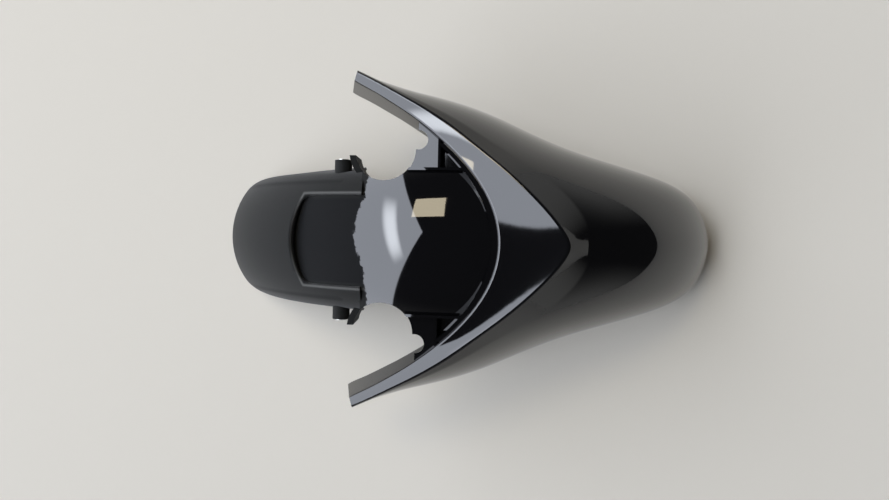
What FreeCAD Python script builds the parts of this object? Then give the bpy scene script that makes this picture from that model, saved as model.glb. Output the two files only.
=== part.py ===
import FreeCAD, Part
import math
import os

from FreeCAD import Vector

# Front mudguard of a scooter, in millimetres
# The forms are set out from the wheel axle, with X forward, Y to the left and Z up.
# The finished part is then moved until it stands on Z = 0 with its box centred on the origin.

# Wall of the moulding, and how deep one wall is rooted in the next
wall = 2.5
root = wall / 2

# Rear arch, a section turned about the axle
arch_radius = 299.0
arch_crown_radius = 90.0
arch_crown_angle = 36.0
arch_shoulder_radius = 38.0
arch_side_draft = 10.0
arch_side_length = 75.0
arch_front_x = -106.0
sweep_back = 80.0
sweep_front = 20.0

# Tail end and lower edge of the rear skirt, as (x, depth under the top of the arch) seen from the side
tail_slope = 47.0
skirt_corner = (-246.0, 209.0)
skirt_back = (-182.0, 168.0)
skirt_middle = (-122.0, 132.0)
skirt_front = (-80.0, 121.0)

# Sunk panel and channel floor, turned about a line a little behind the axle
floor_centre_x = -3.0
floor_depth = 11.0
floor_radius = arch_radius - floor_depth
floor_plug_foot = arch_radius / 2
floor_crown_radius = 150.0
panel_half_width = 43.0
panel_corner_x = -165.0
panel_back_x = -185.0
panel_corner_round = 10.0
panel_edge_radius = 2.2
channel_half_width = 67.0
channel_lip_rise = 3.0
channel_lip_depth = 16.0

# Fork passages and the ears behind them
fork_x = -86.0
fork_y = 87.0
fork_radius = 29.7
ear_drop = 48.0
ear_top_z = floor_radius - ear_drop
ear_height = 42.0
ear_front_x = -97.0
ear_end_y = 82.5
ear_wall = 6.0
bite_x = -54.0
bite_y = 96.0
bite_radius = 9.0

# Rim of the cowl, a parabola on a tilted plane
rim_x = 20.0
rim_rise = 5.3
rim_z = floor_radius + rim_rise
rim_vertex_radius = 86.0
wing_half_span = 154.0
wing_tip_drop = 53.0

# Return wall inside the rim
return_depth_spine = 8.0
return_depth_tip = 42.0
return_draft = 4.0
wing_tip_rake = 9.0

# Ledge inside the rim
ledge_width = 5.5
ledge_step = 3.0
ledge_end = 0.6

# Cowl surface, from the rim outwards, on the spine and at the wing tips
crease_reach_spine = 60.5
crease_reach_tip = 8.0
plateau_tilt = 14.5
dish_depth = 1.0
dish_share = 0.5
ridge_reach_spine = 82.5
ridge_reach_tip = 10.5
ridge_drop_spine = 19.0
ridge_drop_tip = 2.0
edge_round = 2.0

# How full the flank is between the ridge and the lower edge, as shares of its reach and drop
brow_nose = (0.57, 0.20)
brow_wing = (0.47, 0.27)
cheek_nose = (1.0, 0.69)
cheek_wing = (0.67, 0.49)

# How softly the chevron turns at its tip, and how early the ridge bends back
chevron_softness = 0.06
ridge_bend = 0.85

# Lower edge of the cowl from the nose to the wing tip
skirt_line = (
    (0.00, Vector(281.0, 0.0, 91.5)),
    (0.12, Vector(274.0, 36.0, 90.5)),
    (0.25, Vector(249.0, 66.0, 94.0)),
    (0.40, Vector(176.0, 88.5, 123.0)),
    (0.55, Vector(100.0, 110.5, 146.0)),
    (0.70, Vector(25.0, 143.0, 150.0)),
    (0.85, Vector(-48.0, 156.0, 176.0)),
    (1.00, Vector(-114.0, 167.0, 200.0)),
)

# Shelves and pockets between the channel and the wings
shelf_back_x = -62.0
shelf_rib_x = -33.0
shelf_drop = 24.0
shelf_z = floor_radius - shelf_drop
shelf_tilt = 10.0
rib_rise = 3.0
pocket_front_x = -6.0
pocket_drop = 9.0

# Side bosses and their steel collars
boss_x = -130.0
boss_drop = 77.0
boss_z = arch_radius - boss_drop
boss_radius = 8.5
boss_inner_y = 63.0
boss_end_y = 79.0
collar_radius = 6.0
collar_proud = 0.8
bolt_radius = 3.3

# Most of a straight run that the rounding of one corner may take
most_trimmed = 0.45

# Cross-sections on each half of the cowl
cowl_steps = 16

# Room for cutters that reach past the part, and the distance at which things touch
beyond = 400.0
touching = 0.01

axle = Vector(0, 0, 0)
axle_line = Vector(0, 1, 0)


def smooth(t):
    """Ease from 0 to 1 with level ends."""
    return t * t * (3.0 - 2.0 * t)


def mix(start, end, share):
    return start + (end - start) * share


def line(start, end):
    return Part.LineSegment(start, end).toShape()


def curve(poles):
    """Straight edge between two points, or a curve drawn by the points between its ends."""
    if len(poles) == 2:
        return line(*poles)
    bezier = Part.BezierCurve()
    bezier.setPoles(poles)
    return bezier.toShape()


def softened(points, corners, trim):
    """Edges along a run of points, where marked points are trimmed corners and the others draw curves."""
    edges = []
    poles = [points[0]]
    for index, is_corner in enumerate(corners, 1):
        corner = points[index]
        if not is_corner:
            poles.append(corner)
            continue
        arrive = points[index - 1] - corner
        leave = points[index + 1] - corner
        entry = corner + arrive * min(trim / arrive.Length, most_trimmed)
        departure = corner + leave * min(trim / leave.Length, most_trimmed)
        edges.append(curve(poles + [entry]))
        if trim > 0.0:
            edges.append(curve([entry, corner, departure]))
        poles = [departure]
    edges.append(curve(poles + [points[-1]]))
    return edges


def inward(points, distance):
    """The same run of (reach, height) points, moved to its right-hand side."""
    normals = []
    for (reach_a, height_a), (reach_b, height_b) in zip(points, points[1:]):
        along = reach_b - reach_a
        up = height_b - height_a
        length = math.hypot(along, up)
        normals.append((up / length, -along / length))
    moved = []
    for index, (reach, height) in enumerate(points):
        first = normals[max(index - 1, 0)]
        second = normals[min(index, len(normals) - 1)]
        shift = distance / (1.0 + first[0] * second[0] + first[1] * second[1])
        aside = shift * (first[0] + second[0])
        up = shift * (first[1] + second[1])
        moved.append((reach + aside, height + up))
    return moved


def block(face, low, high):
    """Raise a plan outline to a block between two heights."""
    base = face.copy()
    base.translate(Vector(0, 0, low))
    return base.extrude(Vector(0, 0, high - low))


def tall_block(face):
    return block(face, 0.0, beyond)


def plan_face(corners):
    """Flat outline from (x, y) corners."""
    points = [Vector(x, y, 0) for x, y in corners]
    return Part.Face(Part.makePolygon(points + points[:1]))


def turned(face, back_angle, front_angle):
    """Turn a section about the axle, from an angle behind the top to one in front of it."""
    start = face.copy()
    start.rotate(axle, axle_line, -back_angle)
    return start.revolve(axle, axle_line, back_angle + front_angle)


def mirrored(shape):
    return shape.mirror(axle, axle_line)


def both_sides(shape):
    return [shape, mirrored(shape)]


# Cowl, nose and wings

def rim_point(t):
    y = wing_half_span * t
    return Vector(rim_x - y * y / (2.0 * rim_vertex_radius), y, rim_z - wing_tip_drop * t * t)


def make_skirt_curve():
    """Lower edge of the cowl, from the right wing tip round the nose to the left one."""
    right_half = [(-t, Vector(point.x, -point.y, point.z)) for t, point in reversed(skirt_line[1:])]
    stations = right_half + list(skirt_line)
    curve = Part.BSplineCurve()
    curve.interpolate(Points=[point for t, point in stations], Parameters=[t for t, point in stations])
    return curve


skirt_curve = make_skirt_curve()


def spoke(t):
    """Start of a cross-section on the rim, its direction seen from above, and the way to the skirt."""
    start = rim_point(t)
    span = skirt_curve.value(t) - start
    across = Vector(span.x, span.y, 0.0)
    return start, across.normalize(), span


def return_depth(t):
    return mix(return_depth_spine, return_depth_tip, smooth(abs(t)))


def cowl_section(t):
    """Closed wall section of the cowl on the spoke at t, from the return wall to the lower edge."""
    ease = smooth(abs(t))
    turn = math.hypot(t, chevron_softness) - chevron_softness * (1.0 - abs(t))
    start, across, span = spoke(t)
    edge_reach = math.hypot(span.x, span.y)
    depth = return_depth(t)
    crease_reach = crease_reach_spine * (crease_reach_tip / crease_reach_spine) ** turn
    crease_height = crease_reach * math.tan(math.radians(plateau_tilt))
    dish_height = dish_share * crease_height - dish_depth * (1.0 - ease)
    ridge_reach = mix(ridge_reach_spine, ridge_reach_tip, smooth(turn ** ridge_bend))
    ridge_height = crease_height - mix(ridge_drop_spine, ridge_drop_tip, ease)
    flank_reach = edge_reach - ridge_reach
    flank_drop = span.z - ridge_height
    brow = [mix(nose, wing, ease) for nose, wing in zip(brow_nose, brow_wing)]
    cheek = [mix(nose, wing, ease) for nose, wing in zip(cheek_nose, cheek_wing)]
    outer = [
        (-depth * math.tan(math.radians(return_draft * ease)), -depth),
        (0.0, 0.0),
        (dish_share * crease_reach, dish_height),
        (crease_reach, crease_height),
        (ridge_reach, ridge_height),
        (ridge_reach + brow[0] * flank_reach, ridge_height + brow[1] * flank_drop),
        (ridge_reach + cheek[0] * flank_reach, ridge_height + cheek[1] * flank_drop),
        (edge_reach, span.z),
    ]
    rake = math.tan(math.radians(wing_tip_rake)) * ease
    upward = Vector(rake, 0, 1)
    inner = inward(outer, wall)
    outside_points = [start + across * reach + upward * height for reach, height in outer]
    inside_points = [start + across * reach + upward * height for reach, height in inner]
    corners = [True, False, True, True, False, False]
    outside = softened(outside_points, corners, edge_round)
    inside = softened(inside_points[::-1], corners[::-1], 0.0)
    foot = line(outside_points[-1], inside_points[-1])
    close = line(inside_points[0], outside_points[0])
    return Part.Wire(outside + [foot] + inside + [close])


def stations(reach):
    return [reach * step / cowl_steps for step in range(-cowl_steps, cowl_steps + 1)]


def make_cowl():
    return Part.makeLoft([cowl_section(t) for t in stations(1.0)], True, False)


def ledge_section(t):
    """Section of the ledge that follows the rim on its inner side, rooted in the return wall."""
    start, across, span = spoke(t)
    foot = root - return_depth(t)
    corners = [(-ledge_width, -ledge_step), (root, -ledge_step), (root, foot), (-ledge_width, foot)]
    points = [start + across * reach + Vector(0, 0, height) for reach, height in corners]
    return Part.makePolygon(points + points[:1])


def make_ledge():
    return Part.makeLoft([ledge_section(t) for t in stations(ledge_end)], True, False)


def ahead_of_rim():
    """Block of all that lies in front of the middle of the return wall."""
    half = wing_half_span
    sweep = half * half / (2.0 * rim_vertex_radius)
    front = rim_x + root
    left_end = Vector(front - sweep, half, 0)
    right_end = Vector(front - sweep, -half, 0)
    curve = Part.BezierCurve()
    curve.setPoles([right_end, Vector(front + sweep, 0, 0), left_end])
    corners = [left_end, Vector(beyond, half, 0), Vector(beyond, -half, 0), right_end]
    sides = [line(a, b) for a, b in zip(corners, corners[1:])]
    return tall_block(Part.Face(Part.Wire([curve.toShape()] + sides)))


# Rear arch with its sunk panel

def arch_run(inset):
    """Section line of the rear arch, moved inwards, as edges and their two end points."""
    crown = arch_crown_radius - inset
    shoulder = arch_shoulder_radius - inset
    crown_hub = Vector(0, 0, arch_radius - arch_crown_radius)
    turn = math.radians(arch_crown_angle)
    lean = math.radians(90.0 - arch_side_draft)
    offset = arch_crown_radius - arch_shoulder_radius

    def at(hub, radius, angle):
        return hub + Vector(0, radius * math.sin(angle), radius * math.cos(angle))

    def flip(point):
        return Vector(point.x, -point.y, point.z)

    shoulder_hub = at(crown_hub, offset, turn)
    bend = [at(shoulder_hub, shoulder, angle) for angle in (turn, (turn + lean) / 2, lean)]
    foot = bend[2] + Vector(0, math.cos(lean), -math.sin(lean)) * arch_side_length
    edges = [
        line(flip(foot), flip(bend[2])),
        Part.Arc(flip(bend[2]), flip(bend[1]), flip(bend[0])).toShape(),
        Part.Arc(flip(bend[0]), at(crown_hub, crown, 0.0), bend[0]).toShape(),
        Part.Arc(*bend).toShape(),
        line(bend[2], foot),
    ]
    return edges, flip(foot), foot


def arch_plug(inset):
    """All that lies under the face of the arch, moved inwards by an inset."""
    edges, right_foot, left_foot = arch_run(inset)
    section = Part.Face(Part.Wire(edges + [line(left_foot, right_foot)]))
    return turned(section, sweep_back, 0.0)


def below_skirt():
    """Block of all that lies behind the tail end and under the lower edge of the rear skirt."""
    edge = [skirt_corner, skirt_back, skirt_middle, skirt_front]
    points = [Vector(x, -beyond, arch_radius - depth) for x, depth in edge]
    corner = points[0]
    front = points[-1]
    curve = Part.BSplineCurve()
    curve.interpolate(points)
    lean = math.radians(tail_slope)
    tail = corner + Vector(-math.cos(lean), 0, math.sin(lean)) * beyond
    low_front = Vector(front.x, -beyond, -beyond)
    low_tail = Vector(tail.x, -beyond, -beyond)
    corners = [front, low_front, low_tail, tail, corner]
    sides = [line(a, b) for a, b in zip(corners, corners[1:])]
    return Part.Face(Part.Wire([curve.toShape()] + sides)).extrude(Vector(0, 2.0 * beyond, 0))


def panel_outline(margin):
    """Plan outline of the sunk panel, grown by a margin and run out past the front of the arch."""
    side = panel_half_width + margin
    front = panel_corner_round
    points = [
        Vector(front, -side, 0),
        Vector(panel_corner_x - margin, -side, 0),
        Vector(panel_back_x - margin, 0, 0),
        Vector(panel_corner_x - margin, side, 0),
        Vector(front, side, 0),
    ]
    edges = softened(points, [True, False, True], panel_corner_round + margin)
    return Part.Face(Part.Wire(edges + [line(points[-1], points[0])]))


def floor_run(inset, half_width):
    """Section line of the floor, moved inwards, and its two end points."""
    radius = floor_crown_radius - inset
    hub = Vector(0, 0, floor_radius - floor_crown_radius)
    turn = math.asin(half_width / radius)
    points = []
    for angle in (-turn, 0.0, turn):
        points.append(hub + Vector(0, radius * math.sin(angle), radius * math.cos(angle)))
    return Part.Arc(*points).toShape(), points[0], points[2]


def floor_turned(face):
    body = turned(face, sweep_back, sweep_front)
    body.translate(Vector(floor_centre_x, 0, 0))
    return body


def floor_plug(inset):
    """All that lies under the floor, moved inwards by an inset."""
    edge, right, left = floor_run(inset, fork_y)
    low_left = Vector(0, left.y, floor_plug_foot)
    low_right = Vector(0, right.y, floor_plug_foot)
    sides = [line(left, low_left), line(low_left, low_right), line(low_right, right)]
    return floor_turned(Part.Face(Part.Wire([edge] + sides)))


def floor_slab(half_width):
    top, top_right, top_left = floor_run(0.0, half_width)
    low, low_right, low_left = floor_run(wall, half_width)
    edges = [top, line(top_left, low_left), low, line(low_right, top_right)]
    return floor_turned(Part.Face(Part.Wire(edges)))


def sunk_plug(inset):
    """The arch as a full body with the panel sunk into it, all moved inwards by an inset."""
    recess = tall_block(panel_outline(inset)).cut(floor_plug(inset))
    return arch_plug(inset).cut(recess)


def panel_edges(body):
    """Edges where the outer face of the arch turns down into the sunk panel."""
    outline = panel_outline(0.0).OuterWire
    crest = arch_plug(0.0).Shells[0]
    found = []
    for edge in body.Edges:
        middle = edge.valueAt((edge.FirstParameter + edge.LastParameter) / 2)
        in_plan = Part.Vertex(middle.x, middle.y, 0)
        on_outline = outline.distToShape(in_plan)[0] < touching
        if on_outline and crest.distToShape(Part.Vertex(middle))[0] < touching:
            found.append(edge)
    return found


def make_rear():
    """Arch trimmed to its side outline, with the sunk panel and the step at its front end."""
    body = sunk_plug(0.0)
    body = body.makeFillet(panel_edge_radius, panel_edges(body))
    step_face = plan_face([
        (arch_front_x - wall, panel_half_width),
        (arch_front_x, panel_half_width),
        (arch_front_x, fork_y),
        (arch_front_x - wall, fork_y),
    ])
    step = tall_block(step_face).common(arch_plug(0.0)).cut(floor_plug(wall + wall))
    ahead = tall_block(plan_face([
        (arch_front_x, -beyond),
        (beyond, -beyond),
        (beyond, beyond),
        (arch_front_x, beyond),
    ]))
    shell = body.cut([sunk_plug(wall), below_skirt(), ahead])
    return shell.fuse(both_sides(step))


# Channel, shelves and pockets

def make_channel():
    """Floor between the fork passages, with an upright lip along each side."""
    slab = floor_slab(channel_half_width + root)
    edge, right, left = floor_run(0.0, channel_half_width)
    lip_points = [
        Vector(0, channel_half_width, left.z + channel_lip_rise),
        Vector(0, channel_half_width + wall, left.z + channel_lip_rise),
        Vector(0, channel_half_width + wall, left.z - channel_lip_depth),
        Vector(0, channel_half_width, left.z - channel_lip_depth),
    ]
    lip = floor_turned(Part.Face(Part.makePolygon(lip_points + lip_points[:1])))
    back_x = arch_front_x - root
    behind = tall_block(plan_face([
        (back_x, -beyond),
        (-beyond, -beyond),
        (-beyond, beyond),
        (back_x, beyond),
    ]))
    return slab.fuse(both_sides(lip)).cut(behind)


def shelf_height(x):
    return shelf_z + (x - shelf_rib_x) * math.tan(math.radians(shelf_tilt))


def tilted_plate(back_x, front_x, drop):
    """Plate that follows the tilt of the shelf, a drop lower, from the channel lip to the wing."""
    inner = channel_half_width + root
    corners = [(back_x, inner), (front_x, inner), (front_x, wing_half_span), (back_x, wing_half_span)]
    points = [Vector(x, y, shelf_height(x) - drop - wall) for x, y in corners]
    return Part.Face(Part.makePolygon(points + points[:1])).extrude(Vector(0, 0, wall))


def make_shelf():
    shelf = tilted_plate(shelf_back_x, shelf_rib_x, 0.0)
    pocket = tilted_plate(shelf_rib_x, pocket_front_x, pocket_drop)
    inner = channel_half_width + root
    rib_plan = plan_face([
        (shelf_rib_x - wall, inner),
        (shelf_rib_x, inner),
        (shelf_rib_x, wing_half_span),
        (shelf_rib_x - wall, wing_half_span),
    ])
    rib = block(rib_plan, shelf_z - pocket_drop - root, shelf_z + rib_rise)
    bite = Part.makeCylinder(bite_radius, beyond, Vector(bite_x, bite_y, 0))
    bite_mouth = tall_block(plan_face([
        (shelf_back_x - wall, bite_y - bite_radius),
        (bite_x, bite_y - bite_radius),
        (bite_x, wing_half_span + wall),
        (shelf_back_x - wall, wing_half_span + wall),
    ]))
    return shelf.fuse([pocket, rib]).cut([bite, bite_mouth])


# Fork ears and side bosses

def fork_bore(radius):
    return Part.makeCylinder(radius, beyond, Vector(fork_x, fork_y, 0))


def make_ear():
    """Curved wall behind the fork leg, from the rear skirt outwards."""
    ring = fork_bore(fork_radius + ear_wall).cut(fork_bore(fork_radius))
    keep = plan_face([
        (fork_x - beyond, 0),
        (ear_front_x, 0),
        (ear_front_x, ear_end_y),
        (fork_x - beyond, ear_end_y),
    ])
    return ring.common(block(keep, ear_top_z - ear_height, ear_top_z))


def boss_rod(radius, start_y, end_y):
    return Part.makeCylinder(radius, end_y - start_y, Vector(boss_x, start_y, boss_z), axle_line)


def make_collar():
    end = boss_end_y + collar_proud
    return boss_rod(collar_radius, boss_inner_y, end).cut(boss_rod(bolt_radius, boss_inner_y, end))


def make_mudguard():
    frame = make_rear().fuse([make_channel()] + both_sides(make_shelf()))
    frame = frame.cut([ahead_of_rim()] + both_sides(fork_bore(fork_radius)))
    boss = boss_rod(boss_radius, boss_inner_y, boss_end_y)
    frame = frame.fuse(both_sides(make_ear()) + both_sides(boss))
    frame = frame.cut(both_sides(boss_rod(collar_radius, boss_inner_y - wall, boss_end_y + wall)))
    return make_cowl().fuse([make_ledge(), frame])


def main():
    os.makedirs("parts", exist_ok=True)
    left_collar = make_collar()
    pieces = {
        "mudguard": make_mudguard(),
        "left_collar": left_collar,
        "right_collar": mirrored(left_collar),
    }
    box = pieces["mudguard"].optimalBoundingBox(False, False)
    to_base = Vector(-box.Center.x, 0, -box.ZMin)
    for name, shape in pieces.items():
        shape.translate(to_base)
        shape.exportStep(f"parts/{name}.step")
        print(name, "solids", len(shape.Solids), "valid", shape.isValid(), "volume", round(shape.Volume))
    print("moved by", to_base, "size", box.XLength, box.YLength, box.ZLength)


main()
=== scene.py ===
# %% [markdown]
# A front mudguard for a scooter, dressed for its picture.
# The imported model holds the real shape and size, in metres, so this lesson never moves it.
# It gives the moulding its two finishes, lights it like a small studio and sets up the camera.

# %% Load the fixed frame
import math

import bmesh
import bpy
import numpy as np
from mathutils import Euler, Matrix, Vector
from mathutils.bvhtree import BVHTree
from mathutils.interpolate import poly_3d_calc


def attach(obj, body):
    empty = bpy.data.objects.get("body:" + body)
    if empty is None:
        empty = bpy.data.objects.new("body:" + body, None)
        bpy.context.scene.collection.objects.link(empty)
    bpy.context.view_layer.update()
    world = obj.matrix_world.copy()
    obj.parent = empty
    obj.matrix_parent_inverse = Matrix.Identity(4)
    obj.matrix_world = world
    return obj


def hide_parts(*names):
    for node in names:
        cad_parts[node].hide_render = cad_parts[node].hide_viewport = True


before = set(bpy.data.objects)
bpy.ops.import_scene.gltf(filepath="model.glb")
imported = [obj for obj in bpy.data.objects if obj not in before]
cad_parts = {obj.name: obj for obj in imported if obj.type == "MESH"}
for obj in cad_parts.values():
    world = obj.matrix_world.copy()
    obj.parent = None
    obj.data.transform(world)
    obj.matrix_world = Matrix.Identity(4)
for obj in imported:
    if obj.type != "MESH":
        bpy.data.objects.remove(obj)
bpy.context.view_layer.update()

# %% [markdown]
# Every finish below is a small graph of shader nodes.
# Typing out each node and link hides the idea, so short helpers do it. The first starts a material,
# and the next two add a node and set or link its inputs. The rest are the nodes used most:
# arithmetic, a mix of two values, a smooth ramp and a noise.

# %% Helpers for shader nodes
def new_finish(name):
    """A material with only a Principled shader and its output."""
    material = bpy.data.materials.new(name)
    material.use_nodes = True
    return material, material.node_tree, material.node_tree.nodes["Principled BSDF"]


def set_inputs(tree, node, inputs):
    """Set each input to a plain value, or link it to the socket given for it."""
    for key, value in inputs.items():
        if isinstance(value, bpy.types.NodeSocket):
            tree.links.new(value, node.inputs[key])
        else:
            node.inputs[key].default_value = value


def add_node(tree, kind, inputs=None, **settings):
    """A shader node with its settings made first, because they decide which inputs it has."""
    node = tree.nodes.new(kind)
    for key, value in settings.items():
        setattr(node, key, value)
    set_inputs(tree, node, inputs or {})
    return node


def math_of(tree, operation, *values):
    return add_node(tree, "ShaderNodeMath", dict(enumerate(values)), operation=operation).outputs[0]


def sum_of(tree, first, second):
    return math_of(tree, "ADD", first, second)


def times(tree, first, second):
    return math_of(tree, "MULTIPLY", first, second)


def mixed(tree, kind, share, first, second):
    """The first value at a share of 0 and the second at 1, with RGBA or FLOAT as their kind."""
    inputs = {"Factor": share, "A": first, "B": second}
    return add_node(tree, "ShaderNodeMix", inputs, data_type=kind).outputs["Result"]


def ramp(tree, value, start, end, low=0.0, high=1.0):
    """Carry a value smoothly from low at start to high at end."""
    inputs = {"Value": value, "From Min": start, "From Max": end, "To Min": low, "To Max": high}
    return add_node(tree, "ShaderNodeMapRange", inputs, interpolation_type="SMOOTHSTEP").outputs[0]


def noise(tree, place, scale, detail=2.0, roughness=0.5):
    inputs = {"Vector": place, "Scale": scale, "Detail": detail, "Roughness": roughness}
    return add_node(tree, "ShaderNodeTexNoise", inputs).outputs["Fac"]


print("helpers ready")

# %% [markdown]
# The moulding is black plastic all through. Its front half and its wings are sprayed with gloss paint,
# and the rear arch keeps its satin moulded skin. The rear was masked loosely, so the gloss ends
# in a ragged, misty line that reaches furthest back in the middle of the channel.
# A hand-painted mask could show that, but a rule over the part's own axes needs no picture:
# a straight line, pulled back by a bell curve and roughened with noise.

# %% Where the paint reaches
PAINT_END_X = -0.104
PAINT_TONGUE = 0.012
PAINT_TONGUE_Y = 0.008
PAINT_TONGUE_WIDTH = 0.030
PAINT_RAGGED = 0.005
RAGGED_NOISE = (120.0, 4.0, 0.65)  # scale, detail and roughness
NOISE_MIDDLE = 0.5
PAINT_SOFT = 0.0012
WING_INNER_Y = 0.100


def painted_share(tree, place, axes, side):
    """1 on gloss paint, 0 on bare plastic."""
    across = times(tree, sum_of(tree, axes["Y"], -PAINT_TONGUE_Y), 1.0 / PAINT_TONGUE_WIDTH)
    fall = times(tree, times(tree, across, across), -1.0)
    tongue = math_of(tree, "POWER", math.e, fall)
    ragged = sum_of(tree, noise(tree, place, *RAGGED_NOISE), -NOISE_MIDDLE)
    reach = sum_of(tree, axes["X"], times(tree, tongue, PAINT_TONGUE))
    reach = sum_of(tree, reach, times(tree, ragged, 2.0 * PAINT_RAGGED))
    sprayed = ramp(tree, reach, PAINT_END_X - PAINT_SOFT, PAINT_END_X + PAINT_SOFT)
    on_wing = ramp(tree, side, WING_INNER_Y - PAINT_SOFT, WING_INNER_Y + PAINT_SOFT)
    return math_of(tree, "MAXIMUM", sprayed, on_wing)


print("paint ends near x =", PAINT_END_X, "m")

# %% [markdown]
# The bare skin has a sunk panel. Its floor is coloured darker, and a painted highlight, a paler grey line,
# follows its rounded edge where the light catches it. Both could be separate materials on separate faces,
# but they fade softly, so one colour follows the distance outside the panel's bowed outline.

# %% Colour of the bare skin, with a painted edge highlight
SATIN_BLACK = (0.0095, 0.0097, 0.0092, 1.0)
# Darker colour inside the sunk panel.
SUNK_PANEL_BLACK = (0.0016, 0.0018, 0.0022, 1.0)
# Painted highlight: the pale grey of the line along the sunk panel's rounded edge.
EDGE_HIGHLIGHT_GREY = (0.070, 0.070, 0.067, 1.0)
SUNK_CORNER_X = -0.1686
SUNK_BOW = 0.010
SUNK_HALF_WIDTH = 0.043
SUNK_EDGE = 0.0022


def skin_colour_and_highlight(tree, axes, side):
    """Satin black, darker inside the sunk panel, with a painted highlight along its rounded edge."""
    share = times(tree, side, 1.0 / SUNK_HALF_WIDTH)
    bow = sum_of(tree, times(tree, times(tree, share, share), SUNK_BOW), SUNK_CORNER_X - SUNK_BOW)
    behind = math_of(tree, "SUBTRACT", bow, axes["X"])
    beside = sum_of(tree, side, -SUNK_HALF_WIDTH)
    outside = math_of(tree, "MAXIMUM", behind, beside)
    in_panel = ramp(tree, outside, 0.0, -2.0 * SUNK_EDGE)
    # Painted highlight: a paler band just outside the sunk panel, on its rounded edge.
    highlight_starts = ramp(tree, outside, 0.0, SUNK_EDGE)
    highlight_ends = ramp(tree, outside, 2.0 * SUNK_EDGE, SUNK_EDGE)
    skin = mixed(tree, "RGBA", in_panel, SATIN_BLACK, SUNK_PANEL_BLACK)
    return mixed(tree, "RGBA", times(tree, highlight_starts, highlight_ends), skin, EDGE_HIGHLIGHT_GREY)


print("sunk panel is", 2 * SUNK_HALF_WIDTH, "m wide")

# %% [markdown]
# Now both finishes go into one material, because the paint fades into the skin with no edge to cut along.
# Paint is almost a mirror, with a faint haze and a very slight orange peel. The skin is rough,
# with a fine moulded grain and a soft sheen. The painted share chooses between them in every socket.

# %% Black moulding: gloss paint in front, satin skin behind
GLOSS_BLACK = (0.0020, 0.0020, 0.0024, 1.0)
FINE_DETAIL = 3.0
GRAIN_SCALE, GRAIN_HEIGHT = 900.0, 0.00006
GRAIN_RANGE, SATIN_ROUGHNESS = (0.3, 0.7), (0.62, 0.72)
HAZE_SCALE = 14.0
HAZE_RANGE, GLOSS_ROUGHNESS = (0.35, 0.75), (0.030, 0.045)
PEEL_SCALE, PEEL_HEIGHT = 230.0, 0.000002
SPECULAR_BARE, SPECULAR_PAINTED = 0.06, 0.75
SATIN_SHEEN = 0.13


def make_black_moulding():
    material, tree, shader = new_finish("black_moulding")
    place = add_node(tree, "ShaderNodeTexCoord").outputs["Object"]
    axes = add_node(tree, "ShaderNodeSeparateXYZ", {0: place}).outputs
    side = math_of(tree, "ABSOLUTE", axes["Y"])
    painted = painted_share(tree, place, axes, side)
    bare = math_of(tree, "SUBTRACT", 1.0, painted)

    grain = noise(tree, place, GRAIN_SCALE, FINE_DETAIL)
    satin = ramp(tree, grain, *GRAIN_RANGE, *SATIN_ROUGHNESS)
    haze = noise(tree, place, HAZE_SCALE, FINE_DETAIL)
    gloss = ramp(tree, haze, *HAZE_RANGE, *GLOSS_ROUGHNESS)
    grain_height = times(tree, times(tree, grain, bare), GRAIN_HEIGHT)
    peel_height = times(tree, times(tree, noise(tree, place, PEEL_SCALE), painted), PEEL_HEIGHT)
    height = sum_of(tree, grain_height, peel_height)
    relief = add_node(tree, "ShaderNodeBump", {"Strength": 1.0, "Distance": 1.0, "Height": height})
    set_inputs(tree, shader, {
        "Base Color": mixed(tree, "RGBA", painted, skin_colour_and_highlight(tree, axes, side), GLOSS_BLACK),
        "Roughness": mixed(tree, "FLOAT", painted, satin, gloss),
        "Specular IOR Level": ramp(tree, painted, 0.0, 1.0, SPECULAR_BARE, SPECULAR_PAINTED),
        "Sheen Weight": times(tree, bare, SATIN_SHEEN),
        "Normal": relief.outputs["Normal"],
    })
    return material


black_moulding = make_black_moulding()
print("made", black_moulding.name, "with", len(black_moulding.node_tree.nodes), "nodes")

# %% [markdown]
# A steel collar is turned from bar and zinc plated, so its finish is metal with fine rings from the tool.
# The rings could be cut into the mesh, but they are far too fine to be worth its points.
# The collar's axis lies along Y, so bands in steps along Y go round it as rings of changing roughness.

# %% Collar steel
COLLAR_STEEL = (0.62, 0.61, 0.58, 1.0)
COLLAR_STAIN = (0.50, 0.49, 0.46, 1.0)
STAIN_SCALE = 260.0
TOOL_MARKS = {"Scale": 900.0, "Distortion": 0.6, "Detail": 2.0}
COLLAR_ROUGHNESS = (0.24, 0.36)


def make_collar_steel():
    material, tree, shader = new_finish("collar_steel")
    place = add_node(tree, "ShaderNodeTexCoord").outputs["Object"]
    stain = noise(tree, place, STAIN_SCALE, FINE_DETAIL)
    marks = add_node(tree, "ShaderNodeTexWave", {"Vector": place, **TOOL_MARKS}, bands_direction="Y")
    set_inputs(tree, shader, {
        "Base Color": mixed(tree, "RGBA", stain, COLLAR_STEEL, COLLAR_STAIN),
        "Roughness": ramp(tree, marks.outputs["Fac"], 0.0, 1.0, *COLLAR_ROUGHNESS),
        "Metallic": 1.0,
    })
    return material


collar_steel = make_collar_steel()
for collar_name in ("left_collar", "right_collar"):
    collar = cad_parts[collar_name]
    collar.data.materials.clear()
    collar.data.materials.append(collar_steel)
print("collars finished in", collar_steel.name)

# %% [markdown]
# The moulding arrives as flat triangles, and gloss black shows each of them in its reflections.
# More triangles would only make smaller facets. The cure is true normals: the direction that the real
# surface faces at each point. The cowl was drawn by a rule, one cross-section on each spoke from the rim
# to the lower edge, so the same rule, in millimetres from the wheel axle, tells which way it faces.
# Spokes are numbered from -1 at one wing tip, through 0 at the nose, to 1 at the other.
# The rule starts with the lower edge, one smooth curve through fifteen points.

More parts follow.
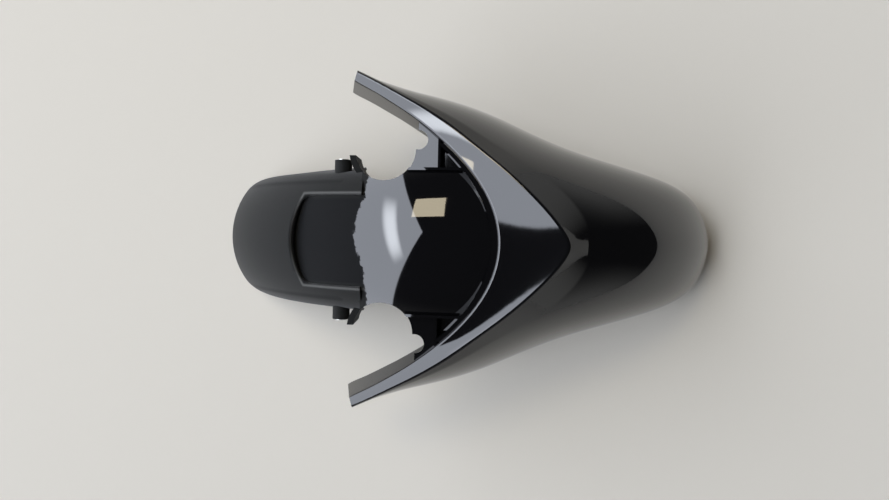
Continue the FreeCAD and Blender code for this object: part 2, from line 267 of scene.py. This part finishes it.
# %% Lower edge of the cowl
SKIRT_STATIONS = (0.00, 0.12, 0.25, 0.40, 0.55, 0.70, 0.85, 1.00)
SKIRT_POINTS = ((281.0, 0.0, 91.5), (274.0, 36.0, 90.5), (249.0, 66.0, 94.0), (176.0, 88.5, 123.0),
                (100.0, 110.5, 146.0), (25.0, 143.0, 150.0), (-48.0, 156.0, 176.0), (-114.0, 167.0, 200.0))
END_POINTS = 4


def smooth(share):
    return share * share * (3.0 - 2.0 * share)


def end_slope(at, values, end):
    """The slope at the end of a curve, from the cubic through the points nearest to it."""
    return np.polyval(np.polyder(np.polyfit(at - end, values, END_POINTS - 1)), 0.0)


def skirt_curve():
    """The smooth curve through the lower edge's points, as a function of the spoke."""
    half = np.array(SKIRT_POINTS)
    points = np.vstack([half[:0:-1] * (1.0, -1.0, 1.0), half])
    at = np.array([-t for t in SKIRT_STATIONS[:0:-1]] + list(SKIRT_STATIONS))
    step = np.diff(at)
    rise = np.diff(points, axis=0) / step[:, None]
    size = len(at)
    rows, right = np.zeros((size, size)), np.zeros((size, 3))
    rows[0, 0] = rows[-1, -1] = 1.0
    for axis in range(3):
        right[0, axis] = end_slope(at[:END_POINTS], points[:END_POINTS, axis], at[0])
        right[-1, axis] = end_slope(at[-END_POINTS:], points[-END_POINTS:, axis], at[-1])
    for i in range(1, size - 1):
        rows[i, i - 1:i + 2] = 1 / step[i - 1], 2 / step[i - 1] + 2 / step[i], 1 / step[i]
        right[i] = 3 * (rise[i - 1] / step[i - 1] + rise[i] / step[i])
    slope = np.linalg.solve(rows, right)

    def value(t):
        i = min(max(int(np.searchsorted(at, t)) - 1, 0), size - 2)
        h, u = step[i], (t - at[i]) / step[i]
        start = points[i] * (1 - smooth(u)) + points[i + 1] * smooth(u)
        return start + h * u * (1 - u) * (slope[i] * (1 - u) - slope[i + 1] * u)

    return value


skirt = skirt_curve()
print("lower edge runs from", skirt(-1.0), "over", skirt(0.0), "to", skirt(1.0), "mm")

# %% [markdown]
# Each spoke carries one cross-section: the return wall inside the rim, the dished plateau, its crease,
# the chevron ridge and the flank down to the lower edge. Its corners are counted along the spoke and upwards.
# Where a value has two ends, the first holds at the nose and the second at the wing tips.

# %% Corners of one cross-section
RIM_X, RIM_Z, RIM_VERTEX_RADIUS = 20.0, 293.3, 86.0
WING_HALF_SPAN, WING_TIP_DROP, WING_TIP_RAKE = 154.0, 53.0, 9.0
RETURN_DEPTH, RETURN_DRAFT = (8.0, 42.0), 4.0
CREASE_REACH, PLATEAU_TILT = (60.5, 8.0), 14.5
DISH_DEPTH, DISH_SHARE = 1.0, 0.5
RIDGE_REACH, RIDGE_DROP = (82.5, 10.5), (19.0, 2.0)
CHEVRON_SOFTNESS, RIDGE_BEND = 0.06, 0.85
BROW = ((0.57, 0.20), (0.47, 0.27))
CHEEK = ((1.0, 0.69), (0.67, 0.49))


def between(ends, share):
    return ends[0] + (ends[1] - ends[0]) * share


def cowl_corners(t):
    """The start of the spoke at t, its two directions, and the corners of its cross-section."""
    ease = smooth(abs(t))
    turn = math.hypot(t, CHEVRON_SOFTNESS) - CHEVRON_SOFTNESS * (1.0 - abs(t))
    y = WING_HALF_SPAN * t
    start = np.array([RIM_X - y * y / (2.0 * RIM_VERTEX_RADIUS), y, RIM_Z - WING_TIP_DROP * t * t])
    span = skirt(t) - start
    edge_reach = math.hypot(span[0], span[1])
    across = np.array([span[0], span[1], 0.0]) / edge_reach
    upward = np.array([math.tan(math.radians(WING_TIP_RAKE)) * ease, 0.0, 1.0])
    depth = between(RETURN_DEPTH, ease)
    crease = CREASE_REACH[0] * (CREASE_REACH[1] / CREASE_REACH[0]) ** turn
    crest = crease * math.tan(math.radians(PLATEAU_TILT))
    ridge = between(RIDGE_REACH, smooth(turn ** RIDGE_BEND))
    ridge_top = crest - between(RIDGE_DROP, ease)
    run, drop = edge_reach - ridge, span[2] - ridge_top
    brow = [between(ends, ease) for ends in zip(*BROW)]
    cheek = [between(ends, ease) for ends in zip(*CHEEK)]
    corners = np.array([
        (-depth * math.tan(math.radians(RETURN_DRAFT * ease)), -depth),
        (0.0, 0.0),
        (DISH_SHARE * crease, DISH_SHARE * crest - DISH_DEPTH * (1.0 - ease)),
        (crease, crest),
        (ridge, ridge_top),
        (ridge + brow[0] * run, ridge_top + brow[1] * drop),
        (ridge + cheek[0] * run, ridge_top + cheek[1] * drop),
        (edge_reach, span[2]),
    ])
    return start, across, upward, corners


print("corners at the nose", cowl_corners(0.0)[3].round(1).tolist())

# %% [markdown]
# On the real moulding every corner is rounded, so the corners become curves: a short bend at the rim,
# the crease and the ridge, and longer ones over the plateau and the flank. A Bezier curve does both,
# since it leaves each end along the line to the next corner. The curves of all spokes together,
# side by side, make seven strips that cover the cowl.

# %% Guide strips over the cowl
AXLE_TO_FRAME = np.array([-3.55, 0.0, -89.97])
MM_PER_METRE = 1000.0
EDGE_ROUND, MOST_TRIMMED = 2.0, 0.45
STRAIGHT_STEPS, BEND_STEPS, PLATEAU_STEPS, FLANK_STEPS = 12, 10, 24, 48
GUIDE_ROWS = 481


def bezier(poles, steps):
    """Points along the curve that the poles draw."""
    level = [np.repeat(np.array([pole], dtype=float), steps, axis=0) for pole in poles]
    share = np.linspace(0.0, 1.0, steps)[:, None]
    while len(level) > 1:
        level = [a * (1 - share) + b * share for a, b in zip(level, level[1:])]
    return level[0]


def trimmed(corner, other):
    """Where the bend at a corner starts, on the line to another corner."""
    leg = other - corner
    return corner + leg * min(EDGE_ROUND / np.linalg.norm(leg), MOST_TRIMMED)


def cowl_profile(t):
    """Strips of points down the outside of the cowl on the spoke at t, from return wall to lower edge."""
    start, across, upward, corners = cowl_corners(t)
    wall, rim, dish, crease, ridge, brow, cheek, edge = corners
    rim_in, rim_out = trimmed(rim, wall), trimmed(rim, dish)
    crease_in, crease_out = trimmed(crease, dish), trimmed(crease, ridge)
    ridge_in, ridge_out = trimmed(ridge, crease), trimmed(ridge, brow)
    curves = [
        bezier([wall, rim_in], STRAIGHT_STEPS),
        bezier([rim_in, rim, rim_out], BEND_STEPS),
        bezier([rim_out, dish, crease_in], PLATEAU_STEPS),
        bezier([crease_in, crease, crease_out], BEND_STEPS),
        bezier([crease_out, ridge_in], STRAIGHT_STEPS),
        bezier([ridge_in, ridge, ridge_out], BEND_STEPS),
        bezier([ridge_out, brow, cheek, edge], FLANK_STEPS),
    ]
    return [start + flat[:, :1] * across + flat[:, 1:] * upward for flat in curves]


def cowl_guide():
    """A fine grid over each strip of the cowl, in metres."""
    profiles = [cowl_profile(t) for t in np.linspace(-1.0, 1.0, GUIDE_ROWS)]
    return [(np.array(strip) + AXLE_TO_FRAME) / MM_PER_METRE for strip in zip(*profiles)]


guide = cowl_guide()
print("guide strips", [strip.shape[:2] for strip in guide])

# %% [markdown]
# The guide has to answer one question: which way does the surface face near this point?
# Each strip goes into a search tree of small four-sided faces, which finds the nearest face quickly,
# and the normals at its four corners are blended. Strips stay apart, so that a tight bend
# never leaks into the calm surface beside it. The channel floor is part of a ring, so its normal
# is simply worked out.

# %% Which way the surface faces
NEAR = 0.0006
CHANNEL_CENTRE_X, CHANNEL_RADIUS, CHANNEL_CROWN = -3.0, 288.0, 150.0


class Strip:
    """One strip of the guide, which can tell how far a point is from it and its normal there."""

    def __init__(self, grid):
        facing = np.cross(np.gradient(grid, axis=1), np.gradient(grid, axis=0))
        facing /= np.linalg.norm(facing, axis=2, keepdims=True)
        rows, columns = grid.shape[:2]
        corner = (np.arange(rows - 1)[:, None] * columns + np.arange(columns - 1)).ravel()
        self.quads = np.column_stack([corner, corner + 1, corner + columns + 1, corner + columns])
        self.points = [Vector(point) for point in grid.reshape(-1, 3)]
        self.facing = facing.reshape(-1, 3)
        self.tree = BVHTree.FromPolygons(self.points, self.quads.tolist())

    def distance(self, point):
        found = self.tree.find_nearest(point, NEAR)
        return math.inf if found[0] is None else found[3]

    def normal(self, point):
        place, _, index, _ = self.tree.find_nearest(point)
        quad = self.quads[index]
        weights = poly_3d_calc([self.points[i] for i in quad], place)
        return Vector(np.dot(weights, self.facing[quad])).normalized()


def channel_normal(point):
    """The normal of the channel floor at a point, or nothing away from the floor."""
    x, y, z = np.array(point) * MM_PER_METRE - AXLE_TO_FRAME
    x -= CHANNEL_CENTRE_X
    radius = math.hypot(x, z)
    rise = radius - (CHANNEL_RADIUS - CHANNEL_CROWN)
    if abs(math.hypot(y, rise) - CHANNEL_CROWN) > NEAR * MM_PER_METRE:
        return None
    return Vector((x / radius * rise, y, z / radius * rise)).normalized()


strips = [Strip(grid) for grid in guide]
print("search trees over", sum(len(strip.quads) for strip in strips), "small faces")

# %% [markdown]
# Now the moulding itself: a copy of the solid, welded into one skin, with only its true edges kept sharp.
# Modelling it afresh could drift from the real size, so its points stay where they are.
# Each corner of each face takes its normal from the guide where it lies on the cowl,
# and from the ring where it lies on the channel floor, if that agrees with the face.

# %% The moulding as one smooth skin
WELD = 0.00002
SHARP = math.radians(32.0)
AGREE = math.cos(math.radians(25.0))


def weld(mesh):
    skin = bmesh.new()
    skin.from_mesh(mesh)
    bmesh.ops.remove_doubles(skin, verts=skin.verts, dist=WELD)
    for edge in skin.edges:
        edge.smooth = len(edge.link_faces) == 2 and edge.calc_face_angle(math.pi) < SHARP
    for face in skin.faces:
        face.smooth = True
        face.material_index = 0
    skin.to_mesh(mesh)
    skin.free()


def set_true_normals(mesh):
    """Give each corner the normal of the real surface, where that is known and agrees with the face."""
    normals = [corner.vector.copy() for corner in mesh.corner_normals]
    changed = 0
    for face in mesh.polygons:
        distance, best = min((strip.distance(face.center), index) for index, strip in enumerate(strips))
        for loop in face.loop_indices:
            point = mesh.vertices[mesh.loops[loop].vertex_index].co
            true = strips[best].normal(point) if distance < NEAR else channel_normal(point)
            if true is not None and true.dot(face.normal) > AGREE:
                normals[loop] = true
                changed += 1
    mesh.normals_split_custom_set(normals)
    print(changed, "of", len(normals), "corners take a true normal")


def make_moulding():
    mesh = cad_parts["mudguard"].data.copy()
    mesh.name = "moulded_mudguard"
    if "custom_normal" in mesh.attributes:
        mesh.attributes.remove(mesh.attributes["custom_normal"])
    weld(mesh)
    set_true_normals(mesh)
    mesh.materials.clear()
    mesh.materials.append(black_moulding)
    moulding = bpy.data.objects.new("moulded_mudguard", mesh)
    bpy.context.scene.collection.objects.link(moulding)
    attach(moulding, "root")
    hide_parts("mudguard")
    return moulding


moulding = make_moulding()
print("moulding has", len(moulding.data.vertices), "points and", len(moulding.data.polygons), "faces")

# %% [markdown]
# The part lies on a plain pale floor. A square would do for one picture,
# but a wide disc shows no corner from any side.

# %% Pale floor
FLOOR_RADIUS = 6.5
FLOOR_SIDES = 96
FLOOR_COLOUR = (0.615, 0.58, 0.51, 1.0)
FLOOR_ROUGHNESS = 0.6
FLOOR_SPECULAR = 0.15


def make_floor():
    material, tree, shader = new_finish("pale_floor")
    set_inputs(tree, shader, {"Base Color": FLOOR_COLOUR, "Roughness": FLOOR_ROUGHNESS,
                              "Specular IOR Level": FLOOR_SPECULAR})
    mesh = bpy.data.meshes.new("floor")
    turns = [math.tau * step / FLOOR_SIDES for step in range(FLOOR_SIDES)]
    edge = [(FLOOR_RADIUS * math.cos(turn), FLOOR_RADIUS * math.sin(turn), 0.0) for turn in turns]
    mesh.from_pydata(edge, [], [list(range(FLOOR_SIDES))])
    mesh.materials.append(material)
    floor = bpy.data.objects.new("floor", mesh)
    bpy.context.scene.collection.objects.link(floor)
    return floor


floor = make_floor()
print(floor.name, "is", 2 * FLOOR_RADIUS, "m wide")

# %% [markdown]
# Gloss black has almost no colour of its own: what shows is the room it mirrors.
# So the lamps are shaped like what the photograph shows in the paint, and each is a rectangle
# whose power follows from how bright its face should look. A lamp's edges can fade,
# by way of its own nodes, because a soft light has no hard border.

# %% Helpers for lamps
def make_lamp(name, width, depth, radiance, tint):
    """A rectangular area lamp, with its power worked out from how bright its face is."""
    lamp = bpy.data.lights.new(name, "AREA")
    lamp.shape = "RECTANGLE"
    lamp.size = width
    lamp.size_y = depth
    lamp.energy = radiance * math.pi * width * depth
    lamp.color = tint
    panel = bpy.data.objects.new(name, lamp)
    bpy.context.scene.collection.objects.link(panel)
    print(name, "gives", round(lamp.energy, 1), "W")
    return panel


def soften(lamp, fade):
    """Let the lamp fade towards its edges, over all of it at a fade of 0.25 and over a border at less."""
    lamp.use_nodes = True
    tree = lamp.node_tree
    place = add_node(tree, "ShaderNodeNewGeometry").outputs["Parametric"]
    axes = add_node(tree, "ShaderNodeSeparateXYZ", {0: place}).outputs
    humps = []
    for axis in ("X", "Y"):
        other = math_of(tree, "SUBTRACT", 1.0, axes[axis])
        humps.append(ramp(tree, times(tree, axes[axis], other), 0.0, fade))
    tree.links.new(times(tree, *humps), tree.nodes["Emission"].inputs["Strength"])


def facing_front(lean):
    """Two edges of an upright lamp that faces the part, turned by the lean, and the turn itself."""
    lean = math.radians(lean)
    far_edge = Vector((0.0, math.cos(lean), -math.sin(lean)))
    near_edge = Vector((0.0, -math.sin(lean), -math.cos(lean)))
    turn = Matrix((far_edge, near_edge, far_edge.cross(near_edge))).transposed()
    return far_edge, near_edge, turn.to_euler()


print("lamp helpers ready")

# %% [markdown]
# The paint mirrors one huge, slightly blue soft panel behind the part, with a corner at its top,
# and a brighter band across it. The panel could stand close by, but then it would light the floor unevenly.
# Its size and place are shares of its distance, so it stands far off and fills the same part of the mirror.
# The band stands a little nearer, because two lamps in one plane hide each other.

# %% Soft panel and its bright core
PANEL_DISTANCE = 16.0
PANEL_SIDES = (2.4, 2.7)
PANEL_TOP = (0.36, 2.77)
PANEL_LEAN = 48.0
PANEL_FADE = 0.020
PANEL_RADIANCE, PANEL_TINT = 4.3, (0.84, 0.89, 1.0)
CORE_PLACE = (0.22, 1.44)
CORE_SPREAD = (1.7, 0.44)
CORE_LEAN = 16.0
CORE_FADE = 0.25
CORE_NEARER = 0.1
CORE_RADIANCE, CORE_TINT = 8.0, (0.90, 0.94, 1.0)


def make_soft_panel():
    far_side, near_side = (side * PANEL_DISTANCE for side in PANEL_SIDES)
    panel = make_lamp("soft_panel", far_side, near_side, PANEL_RADIANCE, PANEL_TINT)
    soften(panel.data, PANEL_FADE)
    far_edge, near_edge, panel.rotation_euler = facing_front(PANEL_LEAN)
    corner = Vector((-1.0, *PANEL_TOP)) * PANEL_DISTANCE
    panel.location = corner + (far_edge * far_side + near_edge * near_side) / 2


def make_bright_core():
    width, height = (share * PANEL_DISTANCE for share in CORE_SPREAD)
    core = make_lamp("bright_core", width, height, CORE_RADIANCE, CORE_TINT)
    soften(core.data, CORE_FADE)
    core.rotation_euler = facing_front(CORE_LEAN)[2]
    core.location = Vector((-1.0, *CORE_PLACE)) * PANEL_DISTANCE + Vector((CORE_NEARER, 0.0, 0.0))


make_soft_panel()
make_bright_core()

# %% [markdown]
# The channel also mirrors a small warm patch with straight edges. A level card overhead gives that,
# and like the panel it is placed by slopes: how far along and across it lies for each metre of height.

# %% Warm card
CARD_HEIGHT = 3.0
CARD_SLOPE = (-0.335, 0.51)
CARD_SPREAD = (0.29, 0.32)
CARD_RADIANCE, CARD_TINT = 7.0, (1.0, 0.88, 0.65)


def make_warm_card():
    width, depth = (share * CARD_HEIGHT for share in CARD_SPREAD)
    card = make_lamp("warm_card", width, depth, CARD_RADIANCE, CARD_TINT)
    card.location = (CARD_SLOPE[0] * CARD_HEIGHT, CARD_SLOPE[1] * CARD_HEIGHT, CARD_HEIGHT)


make_warm_card()

# %% [markdown]
# The world is the rest of the room: dark overhead, so the top of the cowl stays black, with a pale wall
# low on each side, which gives the flanks their soft grey. One even colour would be simpler,
# but it would turn all of the gloss grey. The light path lets the camera see a pale room
# behind the floor, and lets the gloss see a little of it.

# %% Room light
ROOM_DARK = (0.012, 0.012, 0.014, 1.0)
ROOM_WALL = (0.50, 0.50, 0.49, 1.0)
ROOM_PALE = (0.62, 0.62, 0.60, 1.0)
WALL_TOP = 0.62
WALL_SIDE = (0.30, 0.85)
GLOSS_SHARE = 0.03


def make_room():
    world = bpy.data.worlds.new("room")
    bpy.context.scene.world = world
    world.use_nodes = True
    tree = world.node_tree
    direction = add_node(tree, "ShaderNodeTexCoord").outputs["Generated"]
    axes = add_node(tree, "ShaderNodeSeparateXYZ", {0: direction}).outputs
    aside = math_of(tree, "ABSOLUTE", axes["Y"])
    wall_here = times(tree, ramp(tree, aside, *WALL_SIDE), ramp(tree, axes["Z"], WALL_TOP, 0.0))
    wall = mixed(tree, "RGBA", wall_here, ROOM_DARK, ROOM_WALL)
    path = add_node(tree, "ShaderNodeLightPath").outputs
    seen = sum_of(tree, path["Is Camera Ray"], path["Is Transmission Ray"])
    seen = sum_of(tree, seen, times(tree, path["Is Glossy Ray"], GLOSS_SHARE))
    shade = mixed(tree, "RGBA", seen, wall, ROOM_PALE)
    set_inputs(tree, tree.nodes["Background"], {"Color": shade, "Strength": 1.0})
    return world


room = make_room()
print(room.name, "set with", len(room.node_tree.nodes), "nodes")

# %% [markdown]
# The photograph looks almost straight down with a wide phone lens.
# Placing the camera by eye would leave the outline a little off, so its place and tilt were found by matching
# the solid's corners and outline to the picture, with the focal length counted in pixels of its width.
# The three angles turn the room towards the camera, so the camera itself takes the opposite turn.

# %% Camera
PHOTO_WIDTH = 889
FOCAL_PIXELS = 644.85
CAMERA_PLACE = (-0.02933, 0.01460, 0.77677)
CAMERA_TILT = (2.01, -0.16, -1.28)
SENSOR_WIDTH = 36.0
NEAREST_SEEN = 0.01


def make_camera():
    lens = bpy.data.cameras.new("photo_camera")
    lens.sensor_width = SENSOR_WIDTH
    lens.lens = SENSOR_WIDTH * FOCAL_PIXELS / PHOTO_WIDTH
    lens.clip_start = NEAREST_SEEN
    camera = bpy.data.objects.new("photo_camera", lens)
    camera.location = CAMERA_PLACE
    turn = Euler([math.radians(angle) for angle in CAMERA_TILT], "XYZ").to_matrix()
    camera.rotation_euler = turn.transposed().to_euler()
    bpy.context.scene.collection.objects.link(camera)
    bpy.context.scene.camera = camera
    return camera


camera = make_camera()
bpy.context.scene.view_settings.view_transform = "Standard"
print("lens is", round(camera.data.lens, 2), "mm")
